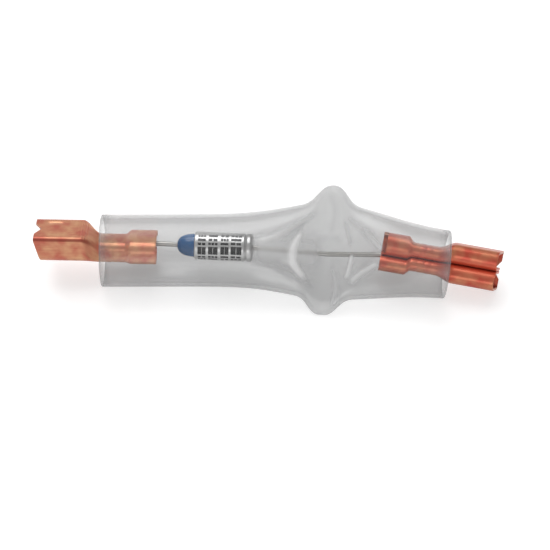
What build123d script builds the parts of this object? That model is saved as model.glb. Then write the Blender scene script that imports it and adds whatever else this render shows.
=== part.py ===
from build123d import *
from math import copysign, cos, exp, pi, radians, sin
import os

# A one-shot thermal fuse of an appliance. A pellet cutoff in a silver case hangs on two wire leads,
# each lead is crimped into a copper push-on terminal, and a clear soft sleeve covers all of it but
# the terminals' mouths. The sleeve has been folded once, and keeps the flat and its two ears.
# It is drawn in the plane of that fold: X along the sleeve, from the sealed end of the case to its
# closed end, Y across the sleeve towards the far ear, Z up out of the fold. At the end it is rolled
# about X onto the near ear and the underside of the tube, as it comes to rest on a table.

# Copper sheet, and the male tab that the terminals take
sheet = 0.40
tab_width = 4.8
tab_side_room = 0.05
grip_gap = 0.70  # from the receptacle's floor to its lips before an 0.8 mm tab is pushed in
seam = 0.20  # between two wings that are rolled together

# Receptacle, the box that slides over the tab
receptacle_length = 6.9
receptacle_height = 4.2
receptacle_corner = 0.60
receptacle_drop = 1.50  # its floor lies this far below the floor of the wire grip
mouth_slant = 0.95  # the top of its rolls starts this far behind the lip of its floor
notch_width = 2.7
notch_depth = 0.95

# Wire grip and insulation grip, the two pairs of wings that are rolled round the lead
wire_grip_length = 3.9
wire_grip_width = 4.0
wire_grip_height = 3.2
wire_grip_corner = 1.0
insulation_grip_length = 3.8
insulation_grip_width = 5.5
insulation_grip_height = 3.4
insulation_grip_corner = 1.4
insulation_grip_drop = 0.40
insulation_seam_shift = 0.55  # one wing was rolled over further than the other
short_wing_setback = 0.6  # and the other wing's end stands back

# Where the rolled wings change size, between the grips and from the wire grip to the receptacle
step_length = 0.5
shoulder_length = 2.2

# Round wire leads
lead_diameter = 0.70
crimp_play = 0.02
lead_bend = 3.0
lead_inset = 0.3  # its end lies this far inside the wire grip
lead_entry = 0.6  # straight stretch before the insulation grip
entry_shift = 0.75  # the right lead enters beside the middle, under the shifted seam
case_exit = 0.8  # straight stretch of the right lead beyond the case

# Case of the cutoff, a drawn cup with a rolled mouth
case_diameter = 4.0
case_length = 8.3
case_wall = 0.25
case_end = 0.35
case_end_round = 0.45
mouth_round = 0.20
mouth_bore = 2.9
swage_depth = 0.15
swage_width = 0.5
swage_place = 1.0  # from the closed end to the middle of the groove

# Epoxy bullet over the mouth of the case
seal_diameter = 3.3
seal_length = 2.5
seal_tip_diameter = 1.0
seal_standoff = 2.4  # bare lead between the seal's tip and the bend beside the terminal

# Pieces in the case, in order from its mouth
inside_play = 0.04
bushing_length = 2.0
bushing_nose_diameter = 1.6
bushing_nose_length = 0.9
lead_head_diameter = 1.4
lead_head_thickness = 0.35
contact_thickness = 0.15
contact_fingers = 6
finger_slot_width = 0.35
contact_hub_diameter = 2.0
disc_diameter = 3.2
disc_thickness = 0.2
pellet_length = 1.7
rivet_diameter = 1.6
rivet_thickness = 0.3
spring_wire = 0.26
spring_wire_sides = 8  # as round as so fine a wire needs
trip_spring_diameter = 2.4
trip_spring_turns = 2.0
main_spring_diameter = 2.6
main_spring_turns = 3.0

# Clear sleeve, from its left end, through the fold, to its right end
sleeve_wall = 0.50
tube_radius = 5.17
left_length = 32.2  # from the left end to the fold
plain_length = 16.0  # of that, the left end's tube that the fold hasn't reached
right_length = 16.9
left_end_side = -0.10  # how far the left end lies towards the near ear
fold_half_width = 9.30
fold_half_height = 1.25
right_end_half_width = 4.85
right_end_half_height = 5.6
right_end_side = -2.1  # how far the right end has swung towards the near ear
right_end_rise = 1.5  # and out of the fold's plane, which lays its underside on the table
fold_skew = 5.7  # degrees between the fold and a square cut of the tube
ear_share = 0.58  # of the extra width at the fold, for the ears; the flare has the rest
ear_reach = 2.47  # how far the two ears reach on both sides of the fold
ear_bluntness = 2.5  # how round their tips are, where 2 is a bell's curve
left_flare_reach = 8.15
right_flare_reach = 10.2
left_flat_reach = 5.6
right_flat_reach = 6.5
fold_squareness = 0.8  # fills out the corners of the flattened section
flat_sharpness = 1.5  # how suddenly the tube is flattened towards the fold
flare_fade = 4  # how late on its way to the tube's end the flare dies out
rest_roll = 33.0  # degrees, from the fold's plane to the table
settled = 0.07  # how far the table presses into the soft tube under the fold's middle

# Places in the plane of the fold, and angles in degrees
fold_x = 7.5
lead_at_fold = -0.6  # to the near side of the sleeve's middle
left_grip_x = -16.9
left_grip_y = 1.55
left_grip_over_wall = 5.1  # above the tube's underside
left_terminal_climb = 1.0
left_terminal_turn = 124.2  # about its length, so that its floor looks up and back
right_grip_x = 15.3
right_grip_y = 0.05
right_grip_z = -1.35
right_terminal_climb = -10.3
right_terminal_rise = 3.0
right_terminal_turn = 8.0
case_climb = -2.7
case_rise = 2.8

# Sections that the sleeve is lofted through, evenly spaced on each side of the fold
left_sections = 9
right_sections = 9
section_points = 16

lead_radius = lead_diameter / 2
lead_height = sheet + crimp_play + lead_radius  # its middle above the wire grip's floor
lips_over_lead = sheet + lead_diameter + 2 * crimp_play
receptacle_width = tab_width + 2 * (sheet + tab_side_room)
wire_grip_start = insulation_grip_length + step_length
shoulder_start = wire_grip_start + wire_grip_length
receptacle_start = shoulder_start + shoulder_length
terminal_length = receptacle_start + receptacle_length
insulation_section = {
    "width": insulation_grip_width,
    "height": insulation_grip_height,
    "corner": insulation_grip_corner,
    "base": -insulation_grip_drop,
    "lip_end": lips_over_lead,
    "seam_at": -insulation_seam_shift,
}
wire_section = {
    "width": wire_grip_width,
    "height": wire_grip_height,
    "corner": wire_grip_corner,
    "base": 0,
    "lip_end": lips_over_lead,
}
receptacle_section = {
    "width": receptacle_width,
    "height": receptacle_height,
    "corner": receptacle_corner,
    "base": -receptacle_drop,
    "lip_end": sheet - receptacle_drop + grip_gap,
}
case_bore = case_diameter - 2 * case_wall
bushing_end = case_wall + bushing_length
nose_end = bushing_end + bushing_nose_length
contact_start = nose_end + lead_head_thickness
first_disc_start = contact_start + contact_thickness
main_spring_start = first_disc_start + disc_thickness
rivet_start = case_length - case_end - rivet_thickness
pellet_start = rivet_start - pellet_length
second_disc_start = pellet_start - disc_thickness


def across(x, y=0.0, z=0.0):
    """Plane square to X, with its own x along Y and its own y along Z."""
    return Plane(origin=(x, y, z), x_dir=(0, 1, 0), z_dir=(1, 0, 0))


def closed_strip(outer, inner):
    """Face between the two faces of the sheet."""
    caps = [Line(outer[0] @ 0, inner[0] @ 0), Line(outer[-1] @ 1, inner[-1] @ 1)]
    return make_face(outer + inner + caps)


def wing_face(side, width, height, corner, base, lip_end, seam_at=0.0):
    """Half of the sheet's section with a wing rolled in: floor, bend, wall, curl and lip."""
    half_width = width / 2
    half_seam = seam / 2
    curl_radius = (half_width - side * seam_at - half_seam) / 2
    curl_height = base + height - curl_radius

    def line(inset):
        """One face of the sheet, from the middle of the floor to the lip."""
        wall = side * (half_width - inset)
        lip = seam_at + side * (half_seam + inset)
        radius = corner - inset
        floor = Line((0, base + inset), (wall - side * radius, base + inset))
        bend = RadiusArc(floor @ 1, (wall, base + corner), -side * radius)
        upright = Line(bend @ 1, (wall, curl_height))
        crown = ((wall + lip) / 2, curl_height + curl_radius - inset)
        curl = ThreePointArc(upright @ 1, crown, (lip, curl_height))
        return [floor, bend, upright, curl, Line(curl @ 1, (lip, lip_end))]

    return closed_strip(line(0.0), line(sheet))


def rolled_wings(start, end, first, last):
    """A length of the sheet with both wings rolled in to the seam, from one section to another."""
    wings = []
    for side in (-1, 1):
        faces = [across(start) * wing_face(side, **first), across(end) * wing_face(side, **last)]
        wings.append(loft(faces, ruled=True))
    return wings[0] + wings[1]


def insulation_grip():
    """The wings nearest the case, one rolled over further and one cut shorter than the other."""
    grip = rolled_wings(0, insulation_grip_length, insulation_section, insulation_section)
    wing_foot = insulation_grip_corner - insulation_grip_drop
    setback = Box(
        2 * short_wing_setback,
        insulation_grip_width + 2 * insulation_seam_shift,
        2 * insulation_grip_height,
        align=(Align.CENTER, Align.CENTER, Align.MIN),
    )
    return grip - Pos(0, insulation_grip_width / 2, wing_foot) * setback


def receptacle():
    """The box for the tab, with its rolls set back along a slant and a notch in its floor."""
    floor = sheet - receptacle_drop
    top = receptacle_height - receptacle_drop
    box = rolled_wings(
        receptacle_start, terminal_length, receptacle_section, receptacle_section
    )
    slant = Polyline(
        (terminal_length, floor),
        (terminal_length - mouth_slant, top),
        (terminal_length - mouth_slant, top + sheet),
        (terminal_length + sheet, top + sheet),
        (terminal_length + sheet, floor),
        close=True,
    )
    slant_cut = extrude(Plane.XZ * make_face(slant), receptacle_width, both=True)
    notch = Polyline(
        (terminal_length, notch_width / 2),
        (terminal_length - notch_depth, 0),
        (terminal_length, -notch_width / 2),
        close=True,
    )
    under_floor = Plane.XY.offset(floor - 2 * sheet)
    notch_cut = extrude(under_floor * make_face(notch), 2 * sheet + grip_gap / 2)
    return box - slant_cut - notch_cut


def terminal():
    """The folded copper strip, from the insulation grip at X = 0 to the mouth for the tab."""
    step = rolled_wings(
        insulation_grip_length, wire_grip_start, insulation_section, wire_section
    )
    wire_grip = rolled_wings(wire_grip_start, shoulder_start, wire_section, wire_section)
    shoulder = rolled_wings(shoulder_start, receptacle_start, wire_section, receptacle_section)
    return insulation_grip() + step + wire_grip + shoulder + receptacle()


def direction(toward, climb, rise):
    """Unit vector along X or back, turned up in the fold's plane and then out of it."""
    level = cos(radians(rise))
    return Vector(
        toward * cos(radians(climb)) * level, sin(radians(climb)) * level, sin(radians(rise))
    )


def frame_along(origin, along, turn=0.0):
    """Frame with its x along a piece, and its z turned about that from square to the fold."""
    up = Vector(0, -sin(radians(turn)), cos(radians(turn)))
    up -= along * up.dot(along)
    return Plane(origin=origin, x_dir=along, z_dir=up)


def place_in(frame, x, y=0.0, z=0.0):
    """Point of a frame, in the plane of the fold."""
    return frame.from_local_coords(Vector(x, y, z))


def cylinder_along(start, length, diameter):
    """Round bar about X."""
    return extrude(across(start) * Circle(diameter / 2), length)


def fuse_case():
    """Drawn cup about X, its mouth rolled over at X = 0 and a groove swaged in near its end."""
    radius = case_diameter / 2
    groove = case_length - swage_place
    inner_end = case_length - case_end
    profile = Polyline(
        (0, mouth_bore / 2),
        (0, radius),
        (groove - swage_width / 2, radius),
        (groove, radius - swage_depth),
        (groove + swage_width / 2, radius),
        (case_length, radius),
        (case_length, lead_radius),
        (inner_end, lead_radius),
        (inner_end, case_bore / 2),
        (case_wall, case_bore / 2),
        (case_wall, mouth_bore / 2),
        close=True,
    )
    section = make_face(profile)
    for corner, rounding in (((0, radius), mouth_round), ((case_length, radius), case_end_round)):
        section = fillet(section.vertices().sort_by_distance(corner)[0], rounding)
    return revolve(Plane.XY * section, Axis.X)


def epoxy_seal():
    """Bullet over the rolled mouth, with a plug down to the bushing, round the isolated lead."""
    base = seal_diameter / 2
    tip = seal_tip_diameter / 2
    plug_end = Line((case_wall, lead_radius), (case_wall, mouth_bore / 2))
    plug_side = Line(plug_end @ 1, (0, mouth_bore / 2))
    shelf = Line(plug_side @ 1, (0, base))
    flank = Spline(shelf @ 1, (-seal_length, tip), tangents=[(-1, 0), (-0.35, -1)])
    nose = Line(flank @ 1, (-seal_length, lead_radius))
    bore = Line(nose @ 1, plug_end @ 0)
    section = make_face([plug_end, plug_side, shelf, flank, nose, bore])
    return revolve(Plane.XY * section, Axis.X)


def ceramic_bushing():
    """Insulator behind the rolled mouth, with a nose that the isolated lead passes through."""
    body = cylinder_along(case_wall, bushing_length, case_bore - 2 * inside_play)
    nose = cylinder_along(bushing_end, bushing_nose_length, bushing_nose_diameter)
    bore = cylinder_along(case_wall, bushing_length + bushing_nose_length, lead_diameter)
    return body + nose - bore


def star_contact():
    """Silvered disc whose fingers slide on the bore of the case."""
    hub = contact_hub_diameter / 2
    star = cylinder_along(contact_start, contact_thickness, case_bore - 2 * inside_play)
    slot_plane = across(contact_start)
    for finger in range(contact_fingers):
        turn = Rot(0, 0, 360 / contact_fingers * finger)
        slot = slot_plane * turn * Pos(hub + case_bore / 2, 0) * Rectangle(case_bore, finger_slot_width)
        star -= extrude(slot, contact_thickness)
    return star


def coil_spring(start, end, diameter, turns):
    """Wire wound about X between two flat faces."""
    height = end - start - spring_wire - 2 * crimp_play
    first = (start + spring_wire / 2 + crimp_play, 0, 0)
    line = Helix(height / turns, height, diameter / 2, center=first, direction=(1, 0, 0))
    wire = RegularPolygon(spring_wire / 2, spring_wire_sides)
    return sweep(Plane(origin=line @ 0, z_dir=line % 0) * wire, path=line, is_frenet=True)


def bent_wire(*points):
    """Lead through these points, with tangent bends of one radius."""
    line = FilletPolyline(*points, radius=lead_bend)
    return sweep(Plane(origin=line @ 0, z_dir=line % 0) * Circle(lead_radius), path=line)


def section_at(left, away, inset):
    """The sleeve's section this far from the fold, to the left or to the right."""
    share = away / (left_length if left else right_length)
    flare_reach = left_flare_reach if left else right_flare_reach
    flat_reach = left_flat_reach if left else right_flat_reach
    end_half_width = tube_radius if left else right_end_half_width
    end_half_height = tube_radius if left else right_end_half_height
    ear = exp(-((away / ear_reach) ** ear_bluntness))
    flare = exp(-((away / flare_reach) ** 2)) * (1 - share**flare_fade)
    flat = exp(-((away / flat_reach) ** flat_sharpness))
    half_width = tube_radius + (end_half_width - tube_radius) * share
    half_width += (fold_half_width - half_width) * (ear_share * ear + (1 - ear_share) * flare)
    half_height = tube_radius + (end_half_height - tube_radius) * share
    half_height += (fold_half_height - half_height) * flat
    side = share * (left_end_side if left else right_end_side)
    rise = 0.0 if left else share * right_end_rise
    skew = radians(fold_skew * flare if left else fold_skew)
    roundness = 2 / (2 + fold_squareness * ear)

    def point(turn):
        """Point of a rounded oblong, which is an ellipse where the roundness is 1."""
        wide = copysign(abs(cos(turn)) ** roundness, cos(turn))
        high = copysign(abs(sin(turn)) ** roundness, sin(turn))
        return ((half_width - inset) * wide, (half_height - inset) * high)

    outline = Spline(
        *[point(2 * pi * k / section_points) for k in range(section_points)], periodic=True
    )
    plane = Plane(
        origin=(fold_x - away if left else fold_x + away, side, rise),
        x_dir=(sin(skew), cos(skew), 0),
        z_dir=(cos(skew), -sin(skew), 0),
    )
    return plane * make_face(outline)


def sleeve_body(inset):
    """Solid that fills the sleeve to this far inside its outer face, flat where it lies."""
    flare_length = left_length - plain_length
    left_steps = [flare_length / left_sections * step for step in range(left_sections, 0, -1)]
    right_steps = [right_length / right_sections * step for step in range(right_sections + 1)]
    flared = [section_at(True, away, inset) for away in left_steps]
    flared += [section_at(False, away, inset) for away in right_steps]
    tube = loft([section_at(True, away, inset) for away in (flare_length, left_length)])
    span = 2 * (left_length + right_length)
    below = Box(span, span, tube_radius, align=(Align.CENTER, Align.CENTER, Align.MAX))
    under_table = Rot(-rest_roll, 0, 0) * Pos(0, 0, inset + settled - tube_radius) * below
    return tube + loft(flared) - under_table


def insulating_sleeve():
    """Thin tube that a fold has pressed flat and wide, with an ear at each end of the fold."""
    return sleeve_body(0.0) - sleeve_body(sleeve_wall)


left_along = direction(-1, left_terminal_climb, 0)
right_along = direction(1, right_terminal_climb, right_terminal_rise)
case_along = direction(1, case_climb, case_rise)
left_grip_end = (left_grip_x, left_grip_y, left_grip_over_wall - tube_radius)
right_grip_end = (right_grip_x, right_grip_y, right_grip_z)
left_frame = frame_along(left_grip_end, left_along, left_terminal_turn)
right_frame = frame_along(right_grip_end, right_along, right_terminal_turn)
left_bend = place_in(left_frame, -lead_entry, 0, lead_height)
case_frame = frame_along(left_bend + case_along * (seal_standoff + seal_length), case_along)


def isolated_lead():
    """Lead from the left terminal through seal and bushing to its head inside the case."""
    head = cylinder_along(nose_end, lead_head_thickness, lead_head_diameter)
    wire = bent_wire(
        place_in(left_frame, shoulder_start - lead_inset, 0, lead_height),
        left_bend,
        place_in(case_frame, contact_start),
    )
    return wire + case_frame.location * head


def case_lead():
    """Lead riveted into the closed end of the case, which runs through the fold to the right."""
    rivet = cylinder_along(rivet_start, rivet_thickness, rivet_diameter)
    wire = bent_wire(
        place_in(case_frame, rivet_start),
        place_in(case_frame, case_length + case_exit),
        (fold_x, lead_at_fold, 0),
        place_in(right_frame, -lead_entry, -entry_shift, lead_height),
        place_in(right_frame, wire_grip_start - lead_entry / 2, 0, lead_height),
        place_in(right_frame, shoulder_start - lead_inset, 0, lead_height),
    )
    return wire + case_frame.location * rivet


def in_case(shape):
    """Moves a piece from the case's own frame to its place."""
    return case_frame.location * shape


pieces = {
    "insulating_sleeve": insulating_sleeve(),
    "left_terminal": left_frame.location * terminal(),
    "right_terminal": right_frame.location * terminal(),
    "isolated_lead": isolated_lead(),
    "case_lead": case_lead(),
    "fuse_case": in_case(fuse_case()),
    "epoxy_seal": in_case(epoxy_seal()),
    "ceramic_bushing": in_case(ceramic_bushing()),
    "star_contact": in_case(star_contact()),
    "trip_spring": in_case(
        coil_spring(bushing_end, contact_start, trip_spring_diameter, trip_spring_turns)
    ),
    "contact_disc": in_case(cylinder_along(first_disc_start, disc_thickness, disc_diameter)),
    "main_spring": in_case(
        coil_spring(main_spring_start, second_disc_start, main_spring_diameter, main_spring_turns)
    ),
    "pellet_disc": in_case(cylinder_along(second_disc_start, disc_thickness, disc_diameter)),
    "thermal_pellet": in_case(
        cylinder_along(pellet_start, pellet_length, case_bore - 2 * inside_play)
    ),
}

# Rolled onto the table, with the origin below the middle of the whole part
rested = {name: Rot(rest_roll, 0, 0) * shape for name, shape in pieces.items()}
reach = Compound(list(rested.values())).bounding_box()
to_origin = Pos(-reach.center().X, -reach.center().Y, -reach.min.Z)
os.makedirs("parts", exist_ok=True)
for name, shape in rested.items():
    export_step(to_origin * shape, f"parts/{name}.step")
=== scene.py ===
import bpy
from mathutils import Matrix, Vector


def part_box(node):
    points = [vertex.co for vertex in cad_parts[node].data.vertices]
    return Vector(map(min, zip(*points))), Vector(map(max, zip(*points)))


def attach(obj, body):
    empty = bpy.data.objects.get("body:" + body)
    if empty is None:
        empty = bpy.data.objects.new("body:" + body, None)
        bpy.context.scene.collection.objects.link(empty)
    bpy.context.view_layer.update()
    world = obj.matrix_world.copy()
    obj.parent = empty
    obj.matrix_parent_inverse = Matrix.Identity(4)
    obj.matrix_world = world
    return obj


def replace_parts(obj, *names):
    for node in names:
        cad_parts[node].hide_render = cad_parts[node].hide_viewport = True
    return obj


bl_info = {
    "name": "Thermal fuse in a folded sleeve",
    "version": (1, 0, 0),
    "blender": (4, 5, 0),
    "location": "3D View > Sidebar > Fuse",
    "description": "Dresses the solids of an axial thermal fuse, its push-on terminals and its clear sleeve",
    "category": "Object",
}

from math import cos, pi, radians, sin, tanh

import bpy
import numpy as np
from mathutils import Matrix, Vector

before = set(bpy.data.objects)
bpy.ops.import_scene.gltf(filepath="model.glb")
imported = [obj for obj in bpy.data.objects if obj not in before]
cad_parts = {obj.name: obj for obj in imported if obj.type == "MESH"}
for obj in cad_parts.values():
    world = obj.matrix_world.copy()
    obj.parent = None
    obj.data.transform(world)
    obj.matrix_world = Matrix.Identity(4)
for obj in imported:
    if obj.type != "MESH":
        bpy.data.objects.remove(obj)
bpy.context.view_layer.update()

MM = 0.001


def linear(code):
    """Linear RGBA of an sRGB hex colour."""
    shares = [int(code[at : at + 2], 16) / 255 for at in (1, 3, 5)]
    return [c / 12.92 if c <= 0.04045 else ((c + 0.055) / 1.055) ** 2.4 for c in shares] + [1.0]


def size(name, millimetres, description):
    """A length that a user can change."""
    return bpy.props.FloatProperty(
        name=name, description=description, default=millimetres * MM, unit="LENGTH", precision=5
    )


def angle(name, degrees, description):
    """An angle that a user can change."""
    return bpy.props.FloatProperty(
        name=name, description=description, default=radians(degrees), subtype="ANGLE"
    )


def share(name, value, description):
    """A share from 0 to 1 that a user can change."""
    return bpy.props.FloatProperty(
        name=name, description=description, default=value, min=0, max=1, subtype="FACTOR"
    )


def colour(name, code, description):
    """A colour that a user can change."""
    return bpy.props.FloatVectorProperty(
        name=name, description=description, default=linear(code), size=4, subtype="COLOR"
    )


def smooth_step(x, start, end):
    """0 before start, 1 after end, and smooth between them."""
    t = np.clip((x - start) / (end - start), 0, 1)
    return t * t * (3 - 2 * t)


class SleeveSizes(bpy.types.PropertyGroup):
    wall: size("Wall", 0.50, "Thickness of the soft vinyl")
    tube_radius: size("Tube radius", 5.17, "Outer radius where the fold hasn't reached")
    left_length: size("Left length", 32.2, "From the left end to the fold")
    right_length: size("Right length", 16.9, "From the fold to the right end")
    fold_x: size("Fold place", 7.5, "Where the fold crosses the sleeve, in its own plane")
    fold_half_width: size("Fold half width", 9.30, "From the middle of the fold to an ear's tip")
    fold_half_height: size("Fold half height", 1.25, "Half of the flattened sleeve's height")
    fold_skew: angle("Fold skew", 5.7, "Between the fold and a square cut of the tube")
    right_half_width: size("Right end half width", 4.85, "Across the right end")
    right_half_height: size("Right end half height", 5.6, "Out of the fold's plane there")
    left_side: size("Left end side", -0.10, "How far the left end lies towards the near ear")
    right_side: size("Right end side", -2.1, "How far the right end has swung")
    right_rise: size("Right end rise", 1.5, "How far it stands out of the fold's plane")
    ear_share: share("Ear share", 0.58, "Of the fold's extra width, how much the ears take")
    ear_reach: size("Ear reach", 2.47, "How far the ears reach on both sides of the fold")
    ear_bluntness: bpy.props.FloatProperty(
        name="Ear bluntness", description="How round the ears' tips are", default=2.9
    )
    left_flare: size("Left flare", 8.15, "How far the flare reaches to the left")
    right_flare: size("Right flare", 10.2, "How far the flare reaches to the right")
    left_flat: size("Left flat", 5.6, "How far the flattening reaches to the left")
    right_flat: size("Right flat", 6.5, "How far the flattening reaches to the right")
    opacity: share("Opacity", 0.10, "How much the outer skin of the vinyl hides")
    # painted shade: how much more opaque the side behind the fold is made, standing for the shade under the
    # tube
    underside_shade: share("Bloom", 0.40, "How much more it hides behind the fold's plane")
    clear_grey: colour("Clear grey", "#838485", "Cast of the clear vinyl")
    # painted shade: a darker grey for the side behind the fold, standing for the shade under the tube
    underside_shade_grey: colour("Bloom grey", "#747576", "Where plasticiser and dust lie on it")


class TerminalSizes(bpy.types.PropertyGroup):
    sheet: size("Sheet", 0.40, "Thickness of the copper")
    seam: size("Seam", 0.06, "Between two wings that are rolled together")
    length: size("Length", 17.3, "From the insulation grip to the lip of the floor")
    mouth_slant: size("Mouth slant", 0.95, "How far the top of the rolls starts behind that lip")
    notch_width: size("Notch width", 2.7, "Of the notch in the floor's lip")
    notch_depth: size("Notch depth", 0.95, "Of the notch in the floor's lip")
    setback: size("Wing setback", 0.6, "How far one insulation wing stands back")
    edge: size("Edge", 0.05, "How far the stamped edges are broken")
    left_red: colour("Left red", "#c86e58", "Where the left terminal is bare")
    left_tan: colour("Left tan", "#dfa67d", "Where the left terminal is tarnished")
    right_red: colour("Right red", "#ba4936", "Where the right terminal is bare")
    right_tan: colour("Right tan", "#c87e5a", "Where the right terminal is tarnished")
    left_x: size("Left place along", -16.9, "Where the left insulation grip ends")
    left_y: size("Left place across", 1.55, "Towards the far ear")
    left_z: size("Left place up", -0.07, "Out of the fold's plane")
    left_climb: angle("Left climb", 1.0, "In the fold's plane")
    left_turn: angle("Left turn", 124.2, "About its length")
    right_x: size("Right place along", 15.3, "Where the right insulation grip ends")
    right_y: size("Right place across", 0.05, "Towards the far ear")
    right_z: size("Right place up", -1.35, "Out of the fold's plane")
    right_climb: angle("Right climb", -10.3, "In the fold's plane")
    right_rise: angle("Right rise", 3.0, "Out of the fold's plane")
    right_turn: angle("Right turn", 8.0, "About its length")


class FuseSizes(bpy.types.PropertyGroup):
    case_radius: size("Case radius", 2.0, "Outer radius of the silver cup")
    pellet_middle: size("Pellet", 6.8, "From the case's mouth to the middle of the pellet")
    seal_length: size("Seal length", 2.5, "Of the epoxy bullet")
    standoff: size("Seal standoff", 2.4, "Bare lead between the bullet and the bend by the terminal")
    lead_height: size("Lead height", 0.77, "Middle of the lead above the wire grip's floor")
    lead_entry: size("Lead entry", 0.6, "Straight lead in front of the insulation grip")
    climb: angle("Case climb", -2.7, "In the fold's plane")
    rise: angle("Case rise", 2.8, "Out of the fold's plane")
    ink_depth: size("Ink", 0.012, "Thickness of the marks on the case")
    plate_light: colour("Plate light", "#c4c4c3", "Silver plate between the drawing lines")
    plate_dark: colour("Plate dark", "#b4b4b4", "Silver plate in the drawing lines")
    seal_light: colour("Seal light", "#14609c", "Epoxy where the pigment is thin")
    seal_dark: colour("Seal dark", "#125084", "Epoxy where the pigment has gathered")


class StageSizes(bpy.types.PropertyGroup):
    rest_roll: angle("Roll", 33.0, "From the fold's plane to the table")
    distance: size("Camera distance", 255, "From the camera to the fold's plane")
    view_down: size("View", -3.571, "The middle of the picture, towards the near ear")
    lens: bpy.props.FloatProperty(
        name="Lens", description="Focal length of the camera", default=116.9, unit="CAMERA"
    )


def add_node(tree, kind, inputs=(), **settings):
    """Adds a node, sets its properties, and gives each input a value or a link."""
    node = tree.nodes.new(kind)
    for name, value in settings.items():
        setattr(node, name, value)
    for name, value in dict(inputs).items():
        if isinstance(value, bpy.types.NodeSocket):
            tree.links.new(value, node.inputs[name])
        else:
            node.inputs[name].default_value = value
    return node


def new_material(name):
    """An empty material with its output node."""
    material = bpy.data.materials.new(name)
    material.use_nodes = True
    material.node_tree.nodes.clear()
    return material, add_node(material.node_tree, "ShaderNodeOutputMaterial")


def finish_material(material, output, shader):
    """Links the shader to the output."""
    material.node_tree.links.new(shader.outputs[0], output.inputs["Surface"])
    return material


def soft_vinyl(sizes):
    """Plasticised PVC, extruded as a tube: clear with a grey cast, satin, and milky where creased.

    The side behind the fold is painted a darker grey and made more opaque: a painted shade for the shade
    under the tube. The milky creases are partly stress whitening and partly a painted highlight.
    """
    material, output = new_material("soft_pvc_extruded")
    tree = material.node_tree
    strain_and_highlight = add_node(tree, "ShaderNodeAttribute", attribute_name="strain_and_highlight")
    rim = add_node(tree, "ShaderNodeAttribute", attribute_name="rim")
    underside_shade_mask = add_node(tree, "ShaderNodeAttribute", attribute_name="underside_shade_mask")
    haze = add_node(tree, "ShaderNodeAttribute", attribute_name="haze")
    place = add_node(tree, "ShaderNodeTexCoord")
    # die lines run along the tube, 0.6 mm apart
    stretch = add_node(
        tree, "ShaderNodeMapping", {"Vector": place.outputs["Object"], "Scale": (0.06, 1.0, 1.0)}
    )
    lines = add_node(
        tree,
        "ShaderNodeTexNoise",
        {"Vector": stretch.outputs[0], "Scale": 1 / (0.6 * MM), "Detail": 3.0},
    )
    bump = add_node(
        tree,
        "ShaderNodeBump",
        {"Height": lines.outputs[0], "Strength": 0.25, "Distance": 0.04 * MM},
    )
    grazing = add_node(tree, "ShaderNodeLayerWeight", {"Blend": 0.5})
    edge_on = add_node(
        tree, "ShaderNodeMath", {0: grazing.outputs["Facing"], 1: 3.0}, operation="POWER"
    )
    hidden = add_node(
        tree, "ShaderNodeMath", {0: edge_on.outputs[0], 1: 0.18}, operation="MULTIPLY"
    ).outputs[0]
    # the side behind the fold hides more as a painted shade; the creases hide more as milky whitening that
    # is partly a painted highlight
    for source, most in ((haze, sizes.opacity), (underside_shade_mask, sizes.underside_shade), (strain_and_highlight, 0.75), (rim, 0.5)):
        hidden = add_node(
            tree,
            "ShaderNodeMath",
            {0: source.outputs["Fac"], 1: most, 2: hidden},
            operation="MULTIPLY_ADD",
            use_clamp=True,
        ).outputs[0]
    # painted shade: the side behind the fold is a darker grey
    grey = add_node(
        tree,
        "ShaderNodeMix",
        {0: underside_shade_mask.outputs["Fac"], 6: sizes.clear_grey, 7: sizes.underside_shade_grey},
        data_type="RGBA",
    )
    # white where creased: partly stress whitening, partly a painted highlight for the creases' light bands
    body = add_node(
        tree,
        "ShaderNodeMix",
        {0: strain_and_highlight.outputs["Fac"], 6: grey.outputs[2], 7: linear("#ffffff")},
        data_type="RGBA",
    )
    vinyl = add_node(
        tree,
        "ShaderNodeBsdfPrincipled",
        {
            "Base Color": body.outputs[2],
            "Alpha": hidden,
            "Roughness": 0.3,
            "IOR": 1.53,
            "Normal": bump.outputs[0],
        },
    )
    gloss = add_node(
        tree,
        "ShaderNodeBsdfAnisotropic",
        {"Color": (1, 1, 1, 1), "Roughness": 0.24, "Normal": bump.outputs[0]},
    )
    mirrored = add_node(
        tree,
        "ShaderNodeMath",
        {0: edge_on.outputs[0], 1: 0.15, 2: 0.02},
        operation="MULTIPLY_ADD",
    )
    shader = add_node(
        tree,
        "ShaderNodeMixShader",
        {0: mirrored.outputs[0], 1: vinyl.outputs[0], 2: gloss.outputs[0]},
    )
    return finish_material(material, output, shader)


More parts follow.
